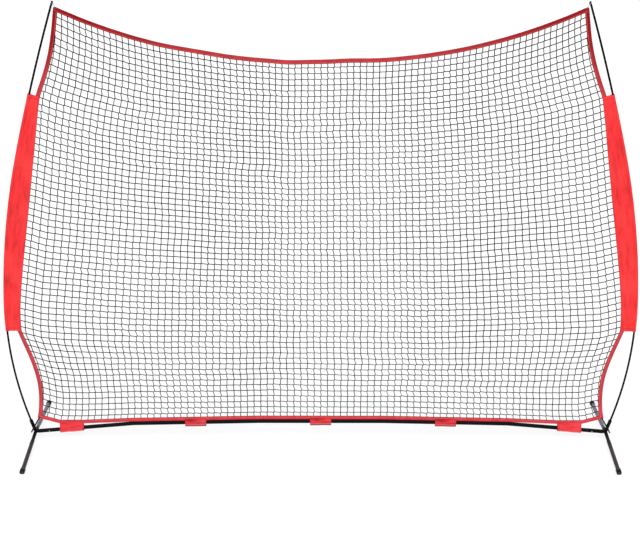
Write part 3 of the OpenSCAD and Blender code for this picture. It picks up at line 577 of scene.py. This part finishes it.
def cloth_mesh(across, along, size, place):
    """A grid laid by place(a, b), with a and b from 0 to 1 across and along it, and its UV map in metres.

    The attribute from_end is the distance from the nearer end, in metres.
    """
    bm = bmesh.new()
    uv = bm.loops.layers.uv.new("UVMap")
    bmesh.ops.create_grid(bm, x_segments=across, y_segments=along, size=0.5, calc_uvs=True)
    from_end = bm.verts.layers.float.new("from_end")
    for v in bm.verts:
        a, b = v.co.x + 0.5, v.co.y + 0.5
        v[from_end] = min(b, 1 - b) * size[1]
        v.co = place(a, b)
    for face in bm.faces:
        for loop in face.loops:
            loop[uv].uv = (loop[uv].uv.x * size[0], loop[uv].uv.y * size[1])
    mesh = bpy.data.meshes.new("cloth")
    bm.to_mesh(mesh)
    bm.free()
    return mesh


def thicken(piece, mm):
    """Gives a cloth its thickness, inwards from the face that shows."""
    solidify = piece.modifiers.new("cloth_thickness", "SOLIDIFY")
    solidify.thickness = mm / 1000
    solidify.offset = -1


def cord_mesh(routes, radius, sides=6, closed=False):
    """Round cords along routes of (point in metres, relative thickness), as one mesh."""
    curve = bpy.data.curves.new("cord", "CURVE")
    curve.dimensions = "3D"
    curve.bevel_depth = radius / 1000
    curve.bevel_resolution = (sides - 4) // 2
    curve.use_fill_caps = True
    for route in routes:
        spline = curve.splines.new("POLY")
        spline.points.add(len(route) - 1)
        spline.use_cyclic_u = closed
        for knot, (point, thick) in zip(spline.points, route):
            knot.co = (*point, 1)
            knot.radius = thick
    holder = bpy.data.objects.new("cord", curve)
    mesh = bpy.data.meshes.new_from_object(holder)
    bpy.data.objects.remove(holder)
    bpy.data.curves.remove(curve)
    return mesh


def smooth_route(points, steps):
    """Points on a smooth curve through the given ones."""
    ends = [2 * points[0] - points[1], *points, 2 * points[-1] - points[-2]]
    route = []
    for p0, p1, p2, p3 in zip(ends, ends[1:], ends[2:], ends[3:]):
        for k in range(steps):
            t = k / steps
            bend, twist = 2 * p0 - 5 * p1 + 4 * p2 - p3, 3 * p1 - p0 - 3 * p2 + p3
            route.append(0.5 * (2 * p1 + (p2 - p0) * t + bend * t * t + twist * t**3))
    return [*route, points[-1]]


# ---------------------------------------------------------------------------------------------------------------------
# Netting: 86 columns and 64 rows of gaps, knotless, with a step where two cords pass through each other
# ---------------------------------------------------------------------------------------------------------------------
COLUMNS, ROWS = 86, 64
GAP_WIDTH = 42.5
CREASES = (35.6, 55.3)  # the columns where the net lay folded
# the cords are drawn stouter than real ones of 3 mm, which would look too pale from this far off
COLUMN_CORD_R, ROW_CORD_R = 2.8, 2.6
PRESSED = 0.42  # how thick a cord is under the tape, next to what it is outside
CROSSING = 0.003  # how far two cords run together to each side of a crossing, in metres
COLUMN_STEP, ROW_STEP = Vector((0.0024, 0, 0)), Vector((0, 0, 0.0013))  # and how far they step aside there


def columns_lost(j):
    """How many columns have run into the tape at each side of a row; the net is widest half way up."""
    return 1 - swell(j / ROWS, 1, 0.6)


def row_height(j):
    """A row's share of the net's height; the rows lie a little closer toward the top."""
    v = j / ROWS
    return v + 0.055 * v * (1 - v)


@cache
def side_point(j):
    """Where a row meets the side edge."""
    height = mix(LOW.y, TOP.y, row_height(j))
    low, high = LOW_CORNER, TOP_CORNER
    for _ in range(30):
        middle = (low + high) / 2
        low, high = (middle, high) if edge(middle).y < height else (low, middle)
    return edge(low)


def net_point(i, j):
    """Where column i is at the height of row j, with the slack and creases of hung netting, in metres."""
    v = j / ROWS
    side = side_point(j)
    from_middle, reach = i - COLUMNS / 2, COLUMNS / 2 - columns_lost(j)
    share = from_middle / reach
    u = (share + 1) / 2
    # the gaps are narrower high up, and near the sides they give way to the edge's own curve
    pitch = GAP_WIDTH - 0.0026 * max(0, side.y - 500) + exp((v - 1) / 0.06)
    x = from_middle * pitch + (side.x - reach * pitch) * share**3
    z = mix(bottom_edge(share * LOW.x), top_edge(share * TOP.x), row_height(j))
    free = min(1, 14 * u, 14 * (1 - u)) * min(1, 10 * v, 10 * (1 - v))  # the tape holds the net's edges still
    shift = 5 + 7 * exp(-v / 0.13)  # each row lies a little to one side of the next, most of all low down
    x += free * shift * ripple(j * 1.37, i * 0.045, 2.9)
    # slow waves over the whole net, and each gap's own unevenness
    x += free * (5 * ripple(i * 0.11, j * 0.16, 4.2) + 4.5 * ripple(i * 0.6, j * 0.75, 1.7))
    z += free * (5 * ripple(i * 0.09, j * 0.13, 9.1) + 3.6 * ripple(i * 0.7, j * 0.6, 6.3))
    depth = free * 16 * ripple(i * 0.06, j * 0.07, 2.4)
    for crease in CREASES:
        off = i - crease
        x -= free * 5 * off * exp(-abs(off) / 1.6) / 1.6
        depth += free * 9 * exp(-abs(off) / 1.5)
    return at((x, z), depth)


def knotted(points, step, stout):
    """A route that steps aside at each crossing, where two cords run together. stout gives its thickness at a point."""
    route = [(points[0], stout(points[0]))]
    for before, point, after in zip(points, points[1:], points[2:]):
        uneven = 0.6 + 0.9 * ripple(point.x * 2.2, point.z * 2.6, 6.6) + 0.7 * ripple(point.x * 31, point.z * 29, 3.1)
        aside = step * uneven * (1 + exp(-point.z / 0.5))
        along = (after - before).normalized() * CROSSING
        route += [(point + k * (along + aside), stout(point)) for k in (-1, 0, 1)]
    return [*route, (points[-1], stout(points[-1]))]


OUTLINE = [at(edge(s), 0, side) for side in (LEFT, RIGHT) for s in range(LOW_CORNER, TOP_CORNER + 1, 2)]
for line, end in ((bottom_edge, LOW.x), (top_edge, TOP.x)):
    OUTLINE += [at((x, line(x))) for x in range(int(-end), int(end), 2)]
outline_tree = KDTree(len(OUTLINE))
for number, point in enumerate(OUTLINE):
    outline_tree.insert(point, number)
outline_tree.balance()


def from_edge(point):
    """Distance from the tape's centre line, in mm."""
    return 1000 * outline_tree.find((point.x, 0, point.z))[2]


def tucked(route):
    """The route with both ends under the tape, whose two layers press the cord thin."""
    lip = TAPE_ACROSS / 2
    for _ in range(2):
        route = route[::-1]
        keep = next(k for k, (point, _) in enumerate(route) if from_edge(point) > lip + 0.3)
        inside = next(route[k][0] for k in range(keep - 1, -1, -1) if from_edge(route[k][0]) < lip - 3)
        outside, stout = route[keep]
        ends = [(inside, PRESSED * stout)]
        for reach, thin in ((lip - 1, PRESSED), (lip + 0.3, 1)):
            low, high = 0, 1
            for _ in range(12):
                middle = (low + high) / 2
                low, high = (middle, high) if from_edge(inside.lerp(outside, middle)) < reach else (low, middle)
            ends.append((inside.lerp(outside, low), thin * stout))
        route = ends + route[keep:]
    return route


def pulled_thin(point):
    """The cords are drawn a little thinner low down, where the net pulls tightest."""
    return 0.92 + 0.12 * min(1, point.z / 0.9)


def column_route(i):
    return tucked(knotted([net_point(i, j) for j in range(ROWS + 1)], COLUMN_STEP, pulled_thin))


def row_route(j):
    lost = columns_lost(j)
    crossings = [lost, *range(1, COLUMNS), COLUMNS - lost]

    def stout(point):
        """Finer between the creases, where the net is stretched flat."""
        flat = 1 / (1 + exp((abs(point.x - 0.095) - 0.39) / 0.03))
        return (1.05 - 0.14 * flat) * pulled_thin(point)

    return tucked(knotted([net_point(i, j) for i in crossings], ROW_STEP, stout))


columns = [column_route(i) for i in range(1, COLUMNS)]
rows = [row_route(j) for j in range(1, ROWS)]
half_columns, half_rows = len(columns) // 2, len(rows) // 2
for name, routes, finish, radius in (
    ("netting_columns_left", columns[:half_columns], net_up, COLUMN_CORD_R),
    ("netting_columns_right", columns[half_columns:], net_up, COLUMN_CORD_R),
    ("netting_rows_low", rows[:half_rows], net_across, ROW_CORD_R),
    ("netting_rows_high", rows[half_rows:], net_across, ROW_CORD_R),
):
    new_piece(name, cord_mesh(routes, radius), finish, "netting")


# ---------------------------------------------------------------------------------------------------------------------
# Edge tape: folded over the netting's edge, with its fold outwards and its two lips sewn together on the net
# ---------------------------------------------------------------------------------------------------------------------
def run_on(points):
    """The route with a little more at each end, to fill the corners."""
    first = (points[0] - points[1]).normalized() * CORNER_RUN_ON
    last = (points[-1] - points[-2]).normalized() * CORNER_RUN_ON
    return [points[0] + first, *points[1:-1], points[-1] + last]


def lengths_along(points):
    total = [0.0]
    for a, b in zip(points, points[1:]):
        total.append(total[-1] + (b - a).length)
    return total


def point_along(points, lengths, run):
    """Point and heading at a run along a route."""
    k = next((k for k in range(1, len(lengths)) if lengths[k] >= run - 1e-6), len(lengths) - 1)
    t = min(1, (run - lengths[k - 1]) / max(1e-9, lengths[k] - lengths[k - 1]))
    return points[k - 1].lerp(points[k], t), (points[k] - points[k - 1]).normalized()


def tape_piece(name, points, thick, node, finish):
    """A folded tape along a route that runs clockwise round the net, seen from the front."""
    points = run_on(points)
    lengths = lengths_along(points)
    total = lengths[-1]
    along = round(total / 14)
    spots = [point_along(points, lengths, k / along * total) for k in range(along + 1)]

    def heading_near(k):
        near = [spots[min(max(n, 0), along)][1] for n in range(k - 2, k + 3)]
        return sum(near, Vector((0, 0))).normalized()

    headings = [heading_near(k) for k in range(along + 1)]

    def place(a, b):
        k = round(b * along)
        point, heading = spots[k][0], headings[k]
        outward = Vector((-heading.y, heading.x))
        reach = TAPE_ACROSS * (sin(pi * a) - 0.5)
        lip = reach + TAPE_ACROSS / 2
        depth = thick / 2 * cos(pi * a)
        # the lips are pinched to half the depth, and the seam beside them draws a groove
        depth *= 1 - 0.5 * exp(-((lip / 2.2) ** 2)) - 0.22 * exp(-(((lip - 4) / 1.3) ** 2))
        run = b * total / 1000
        sway = 0.7 * ripple(run * 9, 3.3) + 0.35 * ripple(run * 40, 7.7)
        pucker = 1 + 0.1 * ripple(run * 60, a * 3, 5.1)
        return at(point + (reach + sway) * outward, depth * pucker)

    size = (TAPE_ROUND, total / 1000)
    mesh = cloth_mesh(20, along, size, place)
    piece = new_piece(name, mesh, finish, node)
    thicken(piece, 0.9)


across_top = [TOP.x * (k / 45 - 1) for k in range(91)]
top_line = [Vector((x, top_edge(x))) for x in across_top]
low_right = [Vector(p) for p in BOTTOM_LINE]
side_line = [edge(LOW_CORNER + (TOP_CORNER - LOW_CORNER) * k / 90) for k in range(91)]  # from the bottom up
for name, line, thick, node, finish in (
    ("edge_tape_top", top_line, TAPE_THICK, "binding_top", tape),
    ("edge_tape_bottom", [*low_right[::-1], *mirrored(low_right)[1:]], TAPE_THICK, "binding_bottom", tape),
    ("edge_tape_right", side_line[::-1], SIDE_TAPE_THICK, "binding_right", side_tape),
    ("edge_tape_left", mirrored(side_line), SIDE_TAPE_THICK, "binding_left", side_tape),
):
    tape_piece(name, line, thick, node, finish)


# ---------------------------------------------------------------------------------------------------------------------
# Pole sleeves: one cloth folded round the pole, its two layers sewn together beside it and again over the edge tape
# ---------------------------------------------------------------------------------------------------------------------
POCKET_R = 9.6
SEAM_GAP = 1.5  # half the depth of the sleeve at the seam beside the pole


def sleeve_piece(side):
    length = SLEEVE_TOP - SLEEVE_LOW

    def place(a, b):
        share = a if side == LEFT else 1 - a
        face = -1 if share > 0.5 else 1  # the front layer is the nearer
        t = abs(share - 0.5) * 2
        s = SLEEVE_LOW + length * b
        point, lean = pole(s)
        tape_near, tape_far = [edge_inset(s) + k * TAPE_ACROSS / 2 for k in (-1, 1)]
        loose = 0.9 * max(0, ripple(b * 30, t * 2, 8 + face)) + (0.7 if min(b, 1 - b) * length < 20 else 0)
        r = POCKET_R + loose
        join = 2.3 * r
        if t < 0.4:  # round the pole
            turn = pi - t / 0.4 * radians(118)
            reach, depth = r * cos(turn), r * sin(turn)
        elif t < 0.52:  # in to the seam beside it
            k = (t - 0.4) / 0.12
            reach = mix(r * cos(radians(62)), join, k)
            depth = mix(r * sin(radians(62)), SEAM_GAP, 1 - (1 - k) ** 2.1)
        else:  # the flat panel, and over the tape
            reach = mix(join, tape_far - 1, (t - 0.52) / 0.48)
            k = min(1, (reach - join) / (tape_near - 1 - join))
            free = max(0, sin(pi * k)) ** 0.8
            fold = 2.6 * ripple(b * 5, k * 2.2, side * 3.1) + 1.5 * ripple(b * 17, k * 3.5, side * 5.2)
            puff = 0.8 * (1 + ripple(b * 22, k * 4, 11 + side))
            depth = mix(SEAM_GAP, SIDE_TAPE_THICK / 2 + 1.7, k**4) + puff * free + face * free * fold
        return at(point + reach * inward(lean), face * depth, side)

    round_mm = 2 * (edge_inset((SLEEVE_LOW + SLEEVE_TOP) / 2) + TAPE_WIDTH / 2 + POCKET_R)
    size = (round_mm / 1000, length / 1000)
    mesh = cloth_mesh(64, 150, size, place)
    where = SIDE_NAME[side]
    piece = new_piece(f"pole_sleeve_cloth_{where}", mesh, sleeve_cloth, f"pole_sleeve_{where}")
    thicken(piece, 0.8)


for side in (LEFT, RIGHT):
    sleeve_piece(side)


# ---------------------------------------------------------------------------------------------------------------------
# Tabs: cloth strips sewn to the bottom tape, round under the crossbar and up behind it to a hook strip
# ---------------------------------------------------------------------------------------------------------------------
TAB_SLACK, OUTER_TAB_SLACK = 14, 8  # how far a tab hangs clear below the bar
TAB_ROUND, TAB_ALONG = 56, 30  # faces of a tab's grid, round the bar and along it


def tab_profile(x):
    """The tab's line round the bar at x: (depth, height above the bar's axis), from the front down and up behind."""
    rise = bottom_edge(x) - bar_height(x)
    r = TUBE_R + 2.2
    slack = OUTER_TAB_SLACK if abs(x) > OUTER_BEND.x else TAB_SLACK
    points = [
        (-TAPE_THICK / 2 - 1.6, rise - 1),
        (-TAPE_THICK / 2 - 1.8, rise - TAPE_WIDTH / 2 + 2),
        (-r * 0.62, r * 0.92),
        (-r * 0.99, r * 0.3),
        (-r * 1.01, -r * 0.25),
        (-r * 0.74, -r * 0.82),
        (0, -r - slack),
        (r * 0.74, -r * 0.82),
        (r * 1.01, -r * 0.2),
        (r * 0.96, r * 0.4),
        (r * 0.72, r * 0.95),
        (6.2, rise - TAPE_WIDTH / 2 + 1),
        (6.0, rise + 4),
    ]
    return [Vector(p) for p in points]


def tab_piece(name, x, width):
    @cache
    def line_at(k):
        """The tab's line at a step k along the bar, as evenly spaced points, and its length."""
        line = smooth_route(tab_profile(x + width * (k / TAB_ALONG - 0.5)), 8)
        lengths = lengths_along(line)
        total = lengths[-1]
        return [point_along(line, lengths, total * n / TAB_ROUND)[0] for n in range(TAB_ROUND + 1)], total

    def place(a, b):
        along = x + width * (b - 0.5)
        spaced, _ = line_at(round(b * TAB_ALONG))
        depth, height = spaced[round(a * TAB_ROUND)]
        slack = exp(-(((a - 0.42) / 0.14) ** 2))
        wave = 1.1 * ripple(along * 0.03, a * 3, 3.7) + 0.6 * ripple(along * 0.08, a * 7, 1.1)
        drop = slack * (1.4 + 1.6 * ripple(along * 0.025, 6.2))
        return at((along, bar_height(along) + height - drop), depth - slack * abs(wave))

    mean_round = (line_at(0)[1] + line_at(TAB_ALONG)[1]) / 2
    size = (mean_round / 1000, width / 1000)
    mesh = cloth_mesh(TAB_ROUND, TAB_ALONG, size, place)
    finish = outer_tab_cloth if abs(x) > OUTER_BEND.x else tab_cloth
    piece = new_piece(f"{name}_cloth", mesh, finish, name)
    thicken(piece, 1.2)


TABS = [("tab_centre", 0, 135)]
for side in (LEFT, RIGHT):
    TABS.append((f"tab_mid_{SIDE_NAME[side]}", side * 800, 135))
    TABS.append((f"tab_outer_{SIDE_NAME[side]}", side * 1595, 153))
for tab_name, tab_x, tab_width in TABS:
    tab_piece(tab_name, tab_x, tab_width)


def hook_strips():
    """The strips that hold the tabs' ends to the back of the tape."""
    depth, thick = 4.05, 1.4
    bm = bmesh.new()
    for _, x, width in TABS:
        low, high = bottom_edge(x) - 7, bottom_edge(x) + 1
        made = bmesh.ops.create_cube(bm, size=1)
        for v in made["verts"]:
            v.co = at((x + v.co.x * (width - 6), mix(low, high, v.co.z + 0.5)), depth + v.co.y * thick)
        edges = {e for v in made["verts"] for e in v.link_edges}
        bmesh.ops.bevel(bm, geom=list(edges), offset=0.0004, segments=2, affect="EDGES", profile=0.5, material=-1)
    mesh = bpy.data.meshes.new("hook_strips")
    bm.to_mesh(mesh)
    bm.free()
    new_piece("hook_strips", mesh, hooks, "tab_hook_strips")


hook_strips()


# ---------------------------------------------------------------------------------------------------------------------
# Cords: a pale loop at each upper corner, a black elastic at each lower one, and the elastic inside each pole
# ---------------------------------------------------------------------------------------------------------------------
def steady(points):
    return [(p, 1) for p in points]


TIP_NECK = 12  # from the pole's top to the neck of its cap
TIP_CORD_R, TIP_RING_R = 1.15, 1.25
TIP_RING_ROUND = 3.25 + 0.3 + 1.3  # the neck, a little room and the cord
ELASTIC_R = 4.2
ELASTIC_ROUND = 11.15 + 0.3 + ELASTIC_R  # the socket, a little room and the cord


def tip_cord(side):
    """A ring round the cap's neck, two strands to the net's corner, a wrap that ties them and its loose tail."""
    top, lean = pole(POLE_TOP)
    across, up = inward(lean), ahead(lean)
    neck = top + TIP_NECK * up
    knot = neck + (TIP_RING_ROUND + 2.6) * across
    turns = [2 * pi * k / 28 for k in range(28)]
    ring = [at(neck + TIP_RING_ROUND * cos(turn) * across, TIP_RING_ROUND * sin(turn), side) for turn in turns]
    end = TOP - 3 * (TOP - knot).normalized()
    stations = (
        (neck + TIP_RING_ROUND * across, 1.2),
        (knot, 2.2),
        (knot.lerp(end, 0.25), 1.1),
        (knot.lerp(end, 0.5) + Vector((0, -1)), 1.2),
        (end, 1.4),
    )
    strands = [smooth_route([at(point, face * apart, side) for point, apart in stations], 6) for face in (-1, 1)]
    wrap = []
    for k in range(40):
        turn = 2 * pi * k / 16
        centre = knot + (k / 40 - 0.5) * 4.6 * across + 2.7 * cos(turn) * up
        wrap.append(at(centre, 3.1 * sin(turn), side))
    tail = smooth_route([wrap[-1], wrap[-1] + at((-1, -7), -2, side), wrap[-1] + at((-2, -15), -3, side)], 5)
    name = f"tip_cord_{SIDE_NAME[side]}"
    bm = bmesh.new()
    for mesh in (
        cord_mesh([steady(ring)], TIP_RING_R, 8, closed=True),
        cord_mesh([steady(s) for s in strands], TIP_CORD_R, 8),
        cord_mesh([steady(wrap), steady(tail)], TIP_CORD_R, 8),
    ):
        bm.from_mesh(mesh)
        bpy.data.meshes.remove(mesh)
    mesh = bpy.data.meshes.new(name)
    bm.to_mesh(mesh)
    bm.free()
    new_piece(name, mesh, pale_cord, f"tip_loop_{SIDE_NAME[side]}")


def corner_elastic(side):
    """A loop from the net's corner round the pole's socket, which it passes on both faces."""
    crossing = HUB + 30 * ahead(POLE_LEAN)
    toward = (LOW - crossing).normalized()
    run = (LOW - crossing).length
    round_socket = [(-1.45, 0.72), (-0.8, 1), (0.8, 1), (1.45, 0.72)]
    half = [(-41, 0), (-37, 3.4), *[(a * ELASTIC_ROUND, b * ELASTIC_ROUND) for a, b in round_socket]]
    half += [(run - 11, 4), (run - 4, 3.4)]
    plan = [(a, -b) for a, b in reversed(half[1:])] + half
    route = smooth_route([at(crossing + a * toward, b, side) for a, b in plan], 5)
    mesh, where = cord_mesh([steady(route)], ELASTIC_R, 10), SIDE_NAME[side]
    new_piece(f"corner_elastic_{where}", mesh, black_elastic, f"corner_loop_{where}")


def pole_elastic(side):
    route = [at(pole(mix(24, POLE_TOP - 8.3, k / 60))[0], 0, side) for k in range(61)]
    mesh, where = cord_mesh([steady(route)], 1.5, 8), SIDE_NAME[side]
    new_piece(f"pole_elastic_{where}", mesh, pale_cord, f"shock_cord_{where}")


for side in (LEFT, RIGHT):
    tip_cord(side)
    corner_elastic(side)
    pole_elastic(side)


# ---------------------------------------------------------------------------------------------------------------------
# Finishes of the rigid pieces
# ---------------------------------------------------------------------------------------------------------------------
RIGID = (
    ("crossbar", coat),
    ("hub", coat),
    ("foot_cap", rubber),
    ("foot", coat),
    ("pole_sleeve", sleeve_cloth),
    ("pole", fibreglass),
    ("ferrule", nickel),
    ("tip_cap", rubber),
    ("button", nickel),
)
for node_name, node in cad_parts.items():
    for start, finish in RIGID:
        if node_name.startswith(start):
            node.data.materials.clear()
            node.data.materials.append(finish)
            break


# ---------------------------------------------------------------------------------------------------------------------
# Studio: a plain pale floor, soft light from above, and the camera
# ---------------------------------------------------------------------------------------------------------------------
def studio():
    material, tree = start_finish("pale_studio_floor")
    close_finish(
        tree,
        Base_Color=srgb("#949494"),
        Roughness=0.95,
        Specular_IOR_Level=0.0,
        Emission_Color=srgb("#FFFFFF"),
        Emission_Strength=0.75,
    )
    bm = bmesh.new()
    bmesh.ops.create_grid(bm, x_segments=1, y_segments=1, size=900)
    mesh = bpy.data.meshes.new("floor")
    bm.to_mesh(mesh)
    bm.free()
    mesh.materials.append(material)
    floor = bpy.data.objects.new("floor", mesh)
    bpy.context.scene.collection.objects.link(floor)

    world = bpy.data.worlds.new("soft_room")
    world.use_nodes = True
    world.node_tree.nodes["Background"].inputs["Color"].default_value = srgb("#FFFFFF")
    world.node_tree.nodes["Background"].inputs["Strength"].default_value = 0.55
    bpy.context.scene.world = world

    for name, strength, spread, turn in (("main_light", 1.9, 75, (32, 0, -18)), ("fill_light", 0.5, 60, (40, 0, 40))):
        light = bpy.data.lights.new(name, "SUN")
        light.energy = strength
        light.angle = radians(spread)
        lamp = bpy.data.objects.new(name, light)
        lamp.rotation_euler = Euler([radians(t) for t in turn])
        bpy.context.scene.collection.objects.link(lamp)

    camera = bpy.data.cameras.new("camera")
    camera.sensor_width = 36
    camera.lens = 75.66
    camera.clip_end = 2000
    eye = bpy.data.objects.new("camera", camera)
    eye.location = (-0.005, -7.57, 4.352)
    tilt, roll = Matrix.Rotation(radians(67.341), 3, "X"), Matrix.Rotation(radians(0.06), 3, "Z")
    eye.rotation_euler = (tilt @ roll).to_euler()
    bpy.context.scene.collection.objects.link(eye)
    bpy.context.scene.camera = eye
    bpy.context.scene.view_settings.view_transform = "Standard"


studio()
